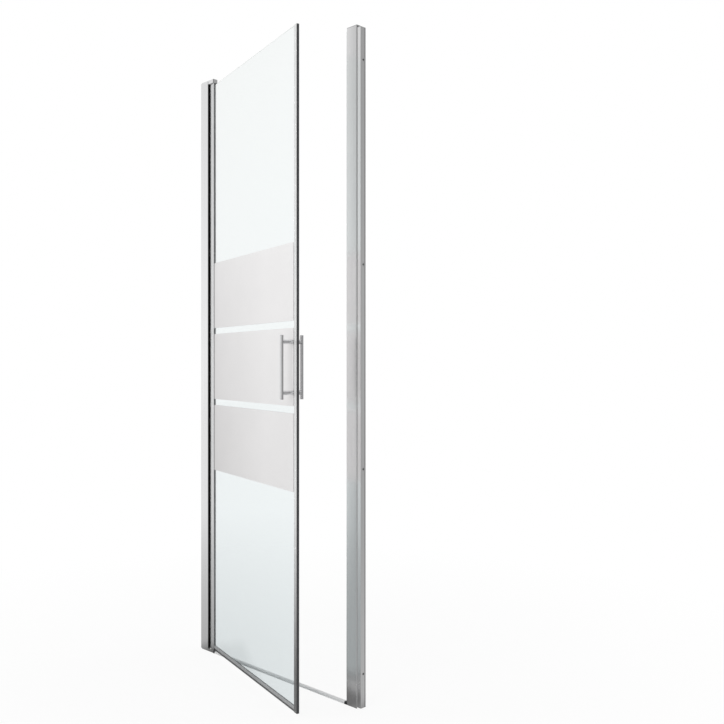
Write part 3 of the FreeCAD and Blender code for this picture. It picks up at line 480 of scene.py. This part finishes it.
# ---------------------------------------------------------------- pieces made here
def finished_piece(name, shape, body, material, stands_for=()):
    """Turns a closed bmesh in the leaf's axes into a piece that rides on a body."""
    bmesh.ops.remove_doubles(shape, verts=shape.verts, dist=1e-7)
    bmesh.ops.transform(shape, matrix=LEAF_PLACE, verts=shape.verts)
    bmesh.ops.recalc_face_normals(shape, faces=shape.faces)
    mesh = bpy.data.meshes.new(name)
    shape.to_mesh(mesh)
    shape.free()
    mesh.materials.append(material)
    piece = bpy.data.objects.new(name, mesh)
    bpy.context.scene.collection.objects.link(piece)
    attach(piece, body)
    if stands_for:
        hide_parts(*stands_for)
    return piece


def closed_loop(shape, points):
    """Ring of edges through points."""
    corners = [shape.verts.new(point) for point in points]
    return [shape.edges.new(pair) for pair in zip(corners, corners[1:] + corners[:1])]


def arc_round_stud(height, start, swing, steps):
    """Points along the edge of a stud hole, as distance along the leaf and height."""
    turns = [start + swing * step / steps for step in range(steps + 1)]
    return [(HANDLE_ALONG + STUD_HOLE * math.cos(turn), height + STUD_HOLE * math.sin(turn))
            for turn in turns]


def drilled_sheet(shape, left, right, bottom, top, back, thick):
    """Upright sheet in the leaf's axes. A stud hole that falls inside it is cut out as a hole, or as
    a notch where it reaches past the right edge."""
    outline = [(left, bottom), (right, bottom)]
    holes = []
    for height in STUD_HEIGHTS:
        if bottom < height < top and HANDLE_ALONG + STUD_HOLE < right:
            holes.append(arc_round_stud(height, 0.0, math.tau, HOLE_STEPS)[:-1])
        elif bottom < height < top:
            meets_edge = math.acos((right - HANDLE_ALONG) / STUD_HOLE)
            outline += arc_round_stud(height, -meets_edge, 2 * meets_edge - math.tau, NOTCH_STEPS)
    outline += [(right, top), (left, top)]
    edges = []
    for ring in (outline, *holes):
        edges += closed_loop(shape, [(along, back, up) for along, up in ring])
    filled = bmesh.ops.triangle_fill(shape, edges=edges, use_beauty=True, use_dissolve=False)
    faces = [item for item in filled["geom"] if isinstance(item, bmesh.types.BMFace)]
    pulled = bmesh.ops.extrude_face_region(shape, geom=faces)
    moved = [item for item in pulled["geom"] if isinstance(item, bmesh.types.BMVert)]
    bmesh.ops.translate(shape, verts=moved, vec=(0.0, -thick, 0.0))


def make_pane():
    """The sheet of glass, with a fine bevel all round and its own finish on the ground edges."""
    shape = bmesh.new()
    drilled_sheet(shape, GLASS_LEFT, GLASS_RIGHT, GLASS_BOTTOM, GLASS_TOP, GLASS_INNER,
                  GLASS_INNER - GLASS_OUTER)
    pane = finished_piece("glass_pane", shape, "leaf", toughened_glass, ("glass_panel",))
    pane.data.materials.append(ground_glass_edge)
    outward = LEAF_PLACE.to_3x3() @ Vector((0.0, -1.0, 0.0))
    for face in pane.data.polygons:
        if abs(face.normal.dot(outward)) < 0.5:
            face.material_index = 1
    arris = pane.modifiers.new("arris", "BEVEL")
    arris.width = GLASS_ARRIS
    arris.segments = 2
    arris.limit_method = "ANGLE"
    arris.angle_limit = math.radians(40)


def make_print():
    """Three frosted bands, each a thin film on both faces of the glass."""
    for name, step in (("frosted_panel_lower", -1), ("frosted_panel_middle", 0), ("frosted_panel_upper", 1)):
        middle = PRINT_CENTRE + step * PANEL_PITCH
        shape = bmesh.new()
        for back in (PRINT_THICK - PRINT_OFF, PRINT_OFF):
            drilled_sheet(shape, PRINT_LEFT, PRINT_RIGHT, middle - PANEL_TALL / 2, middle + PANEL_TALL / 2,
                          back, PRINT_THICK)
        finished_piece(name, shape, "leaf", frosted_print)


def ring_of(shape, corners, radii):
    """Flat face from corner points, with each corner rounded by its own radius."""
    points = [shape.verts.new(corner) for corner in corners]
    shape.faces.new(points)
    for point, radius in zip(points, radii):
        if radius:
            bmesh.ops.bevel(shape, geom=[point], offset=radius, offset_type="OFFSET", segments=3,
                            profile=0.5, affect="VERTICES", material=-1)


def drawn_out(shape, run):
    """Pulls the flat face in a bmesh into a bar."""
    pulled = bmesh.ops.extrude_face_region(shape, geom=shape.faces[:])
    moved = [item for item in pulled["geom"] if isinstance(item, bmesh.types.BMVert)]
    bmesh.ops.translate(shape, verts=moved, vec=run)


def make_drip_seal():
    """Grips the glass from below: two flanges, a web and a fin that thins to its lower edge."""
    lips_end = DRIP_TOP - SEAL_LIP_TALL
    shoulder = DRIP_WEB_FOOT + DRIP_SHOULDER
    corners = [(-SEAL_SKIN, DRIP_TOP), (-SEAL_SLOT - SEAL_LIP / 2, DRIP_TOP), (-SEAL_SLOT, lips_end),
               (-SEAL_SLOT, DRIP_SLOT_FLOOR), (SEAL_SLOT, DRIP_SLOT_FLOOR), (SEAL_SLOT, lips_end),
               (SEAL_SLOT + SEAL_LIP / 2, DRIP_TOP), (SEAL_SKIN, DRIP_TOP), (SEAL_SKIN, shoulder),
               (FIN_ROOT, DRIP_WEB_FOOT), (FIN_TIP, DRIP_FOOT), (-FIN_TIP, DRIP_FOOT),
               (-FIN_ROOT, DRIP_WEB_FOOT), (-SEAL_SKIN, shoulder)]
    radii = [0.0002, 0.0, 0.0, 0.0003, 0.0003, 0.0, 0.0, 0.0002, 0.0006, 0.0004,
             0.0003, 0.0003, 0.0004, 0.0006]
    shape = bmesh.new()
    ring_of(shape, [(DRIP_LEFT, across, up) for across, up in corners], radii)
    drawn_out(shape, (DRIP_RIGHT - DRIP_LEFT, 0.0, 0.0))
    seal = finished_piece("drip_seal_section", shape, "leaf", grey_seal, ("drip_seal",))
    seal.data.materials.append(seal_lip)
    for face in seal.data.polygons:
        if face.center.z < LIP_TOP:
            face.material_index = 1


def make_edge_seal():
    """Slides over the glass edge and carries the magnet strip on its outer end."""
    lips_end, slot_end = EDGE_SEAL_LEFT + 0.003, GLASS_RIGHT + 0.0002
    corners = [(EDGE_SEAL_LEFT, -SEAL_SKIN), (EDGE_SEAL_LEFT, -SEAL_SLOT - SEAL_LIP / 2),
               (lips_end, -SEAL_SLOT), (slot_end, -SEAL_SLOT), (slot_end, SEAL_SLOT),
               (lips_end, SEAL_SLOT), (EDGE_SEAL_LEFT, SEAL_SLOT + SEAL_LIP / 2),
               (EDGE_SEAL_LEFT, SEAL_SKIN), (EDGE_SEAL_RIGHT, SEAL_SKIN), (EDGE_SEAL_RIGHT, -SEAL_SKIN)]
    radii = [0.0002, 0.0, 0.0, 0.0003, 0.0003, 0.0, 0.0, 0.0002, 0.0004, 0.0004]
    shape = bmesh.new()
    ring_of(shape, [(along, across, LEAF_FOOT) for along, across in corners], radii)
    drawn_out(shape, (0.0, 0.0, GLASS_TOP - LEAF_FOOT))
    finished_piece("edge_seal_section", shape, "leaf", clear_seal, ("edge_seal",))


make_pane()
make_print()
make_drip_seal()
make_edge_seal()

# ---------------------------------------------------------------- finishes on the CAD nodes
FINISHES = {
    "polished_aluminium": polished_aluminium, "anodised_channel": anodised_channel,
    "chrome_handle": chrome_handle, "stainless_screws": stainless_screws,
    "chrome_plastic_cap": chrome_plastic_cap, "chrome_bracket": chrome_bracket,
    "black_rubber": black_rubber, "clear_seal": clear_seal, "magnet_strip": magnet_strip,
    "white_nylon": white_nylon, "black_plastic": black_plastic,
    "toughened_glass": toughened_glass, "grey_gasket": grey_gasket}
for subpart in frame["record"]["subparts"]:
    node = nodes[subpart["node"]]
    node.data.materials.clear()
    node.data.materials.append(FINISHES[subpart["material_slot"]])
nodes["threshold_bar"].data.materials[0] = threshold_aluminium
for jamb, jamb_finish in jamb_finishes.items():
    nodes[jamb].data.materials[0] = jamb_finish
for posts in ("outer_handle_posts", "inner_handle_posts"):
    nodes[posts].data.materials[0] = chrome_posts_lit_copy


# ---------------------------------------------------------------- floor, light and camera
def light_path_masks(tree):
    """Rays that look straight or through glass, and rays that metal or glass has reflected. A ray
    that glass only bends also counts as glossy, so the reflected ones are told by their depth."""
    path = put(tree, "ShaderNodeLightPath")
    looking = sum_of(tree, "MAXIMUM", path.outputs["Is Camera Ray"], path.outputs["Is Transmission Ray"])
    bounced = sum_of(tree, "MINIMUM", path.outputs["Glossy Depth"], 1.0)
    return looking, sum_of(tree, "MULTIPLY", path.outputs["Is Glossy Ray"], bounced)


def room_by_bearing(tree, vector):
    """Brightness of the room round the door by bearing, and how far up the direction points."""
    parts = put(tree, "ShaderNodeSeparateXYZ")
    tree.links.new(vector, parts.inputs["Vector"])
    bearing = sum_of(tree, "ARCTAN2", parts.outputs["Y"], parts.outputs["X"])
    light = GREY_WALL
    for middle, fade_from, fade_to, gain in ROOM_AREAS:
        off = sum_of(tree, "ABSOLUTE", sum_of(tree, "SUBTRACT", bearing, math.radians(middle)), 0.0)
        area = spread(tree, off, math.radians(fade_from), math.radians(fade_to), gain, 0.0)
        light = sum_of(tree, "ADD", area, light)
    return light, parts.outputs["Z"]


def make_floor():
    """White to the camera and through glass, but for the door's shadow. Where metal reflects it, it
    is grey near the door and darker in the doorway, where the door's shadow is painted in."""
    shape = bmesh.new()
    bmesh.ops.create_grid(shape, x_segments=1, y_segments=1, size=20.0)
    mesh = bpy.data.meshes.new("studio_floor")
    shape.to_mesh(mesh)
    shape.free()
    floor = bpy.data.objects.new("studio_floor", mesh)
    bpy.context.scene.collection.objects.link(floor)
    material = bpy.data.materials.new("studio_floor")
    material.use_nodes = True
    tree = material.node_tree
    paint = give(tree.nodes["Principled BSDF"], Base_Color=(0.9, 0.9, 0.9, 1), Roughness=0.9,
                 Specular_IOR_Level=0.0)
    glow = put(tree, "ShaderNodeEmission")
    looking, reflected = light_path_masks(tree)
    place = put(tree, "ShaderNodeTexCoord")
    reach = put(tree, "ShaderNodeVectorMath", operation="LENGTH")
    tree.links.new(place.outputs["Object"], reach.inputs[0])
    away = reach.outputs["Value"]
    plain = sum_of(tree, "MULTIPLY", looking, spread(tree, away, 0.6, 2.0, 0.9, 1.0))
    share = sum_of(tree, "MAXIMUM", plain, reflected)
    room, _ = room_by_bearing(tree, place.outputs["Object"])
    far = sum_of(tree, "MULTIPLY", sum_of(tree, "MAXIMUM", room, GREY_WALL), FAR_SHARE)
    mirrored = spread(tree, away, NEAR_REACH, FAR_REACH, NEAR_FLOOR, far)
    parts = put(tree, "ShaderNodeSeparateXYZ")
    tree.links.new(place.outputs["Object"], parts.inputs["Vector"])
    sideways = sum_of(tree, "ABSOLUTE", parts.outputs["X"], 0.0)
    # Painted shadow: the floor in the doorway is darkened where metal reflects it.
    doorway = sum_of(tree, "MINIMUM", spread(tree, sideways, *DOORWAY_SIDES, 1.0, 0.0),
                     spread(tree, parts.outputs["Y"], *DOORWAY_OUTSIDE, 0.0, 1.0))
    doorway = sum_of(tree, "MINIMUM", doorway,
                     spread(tree, parts.outputs["Y"], *DOORWAY_INSIDE, 1.0, 0.0))
    mirrored = spread(tree, doorway, 0.0, 1.0, mirrored, DOORWAY_SHADOW_TONE)
    strength = spread(tree, reflected, 0.0, 1.0, 1.0, mirrored)
    tree.links.new(strength, glow.inputs["Strength"])
    join = put(tree, "ShaderNodeMixShader")
    tree.links.new(share, join.inputs[0])
    tree.links.new(paint.outputs[0], join.inputs[1])
    tree.links.new(glow.outputs[0], join.inputs[2])
    tree.links.new(join.outputs[0], tree.nodes["Material Output"].inputs["Surface"])
    material.cycles.emission_sampling = "NONE"
    mesh.materials.append(material)


def make_world():
    """Even white for the camera and through glass. Metal sees a bright window to the left, a dark
    corner in front, grey walls that dim with height and a bright ceiling."""
    world = bpy.data.worlds.new("studio")
    world.use_nodes = True
    bpy.context.scene.world = world
    tree = world.node_tree
    fill = give(tree.nodes["Background"], Color=(1, 1, 1, 1), Strength=WORLD_FILL)
    room = give(put(tree, "ShaderNodeBackground"), Color=(1, 1, 1, 1))
    looking, reflected = light_path_masks(tree)
    way = put(tree, "ShaderNodeTexCoord")
    light, upwards = room_by_bearing(tree, way.outputs["Generated"])
    high = spread(tree, upwards, 0.0, 0.6, 1.0, 0.72)
    light = sum_of(tree, "MULTIPLY", light, high)
    ceiling = spread(tree, upwards, CEILING_STARTS, CEILING_FULL, 0.0, CEILING)
    light = sum_of(tree, "ADD", light, ceiling)
    tree.links.new(spread(tree, reflected, 0.0, 1.0, 1.0, light), room.inputs["Strength"])
    either = sum_of(tree, "MAXIMUM", looking, reflected)
    join = put(tree, "ShaderNodeMixShader")
    tree.links.new(either, join.inputs[0])
    tree.links.new(fill.outputs[0], join.inputs[1])
    tree.links.new(room.outputs[0], join.inputs[2])
    tree.links.new(join.outputs[0], tree.nodes["World Output"].inputs["Surface"])
    world.cycles.sampling_method = "NONE"


def softbox(name, place, width, height, power):
    """Soft lamp that faces the middle of the door and doesn't show in metal or glass."""
    light = bpy.data.lights.new(name, "AREA")
    light.shape = "RECTANGLE"
    light.size, light.size_y, light.energy = width, height, power
    lamp = bpy.data.objects.new(name, light)
    bpy.context.scene.collection.objects.link(lamp)
    lamp.location = place
    lamp.visible_glossy = False
    lamp.visible_transmission = False
    lamp.rotation_euler = (DOOR_MIDDLE - Vector(place)).to_track_quat("-Z", "Y").to_euler()


def make_camera():
    lens = bpy.data.cameras.new("photograph")
    lens.sensor_width = 36.0
    lens.lens = 44.155
    lens.shift_y = 0.0024
    lens.clip_start, lens.clip_end = 0.05, 100.0
    camera = bpy.data.objects.new("photograph", lens)
    bpy.context.scene.collection.objects.link(camera)
    camera.location = (2.1695, -1.7930, 0.9838)
    camera.rotation_euler = (math.radians(90), 0.0, math.radians(44.78))
    bpy.context.scene.camera = camera


make_floor()
make_world()
make_camera()
softbox("front_softbox", (1.0, -3.4, 2.6), 2.4, 2.4, 24.0)
softbox("left_softbox", (-3.2, -1.4, 2.4), 2.0, 2.4, 14.0)
softbox("back_softbox", (1.2, 3.0, 2.4), 2.0, 2.4, 12.0)
bpy.context.scene.view_settings.view_transform = "Standard"
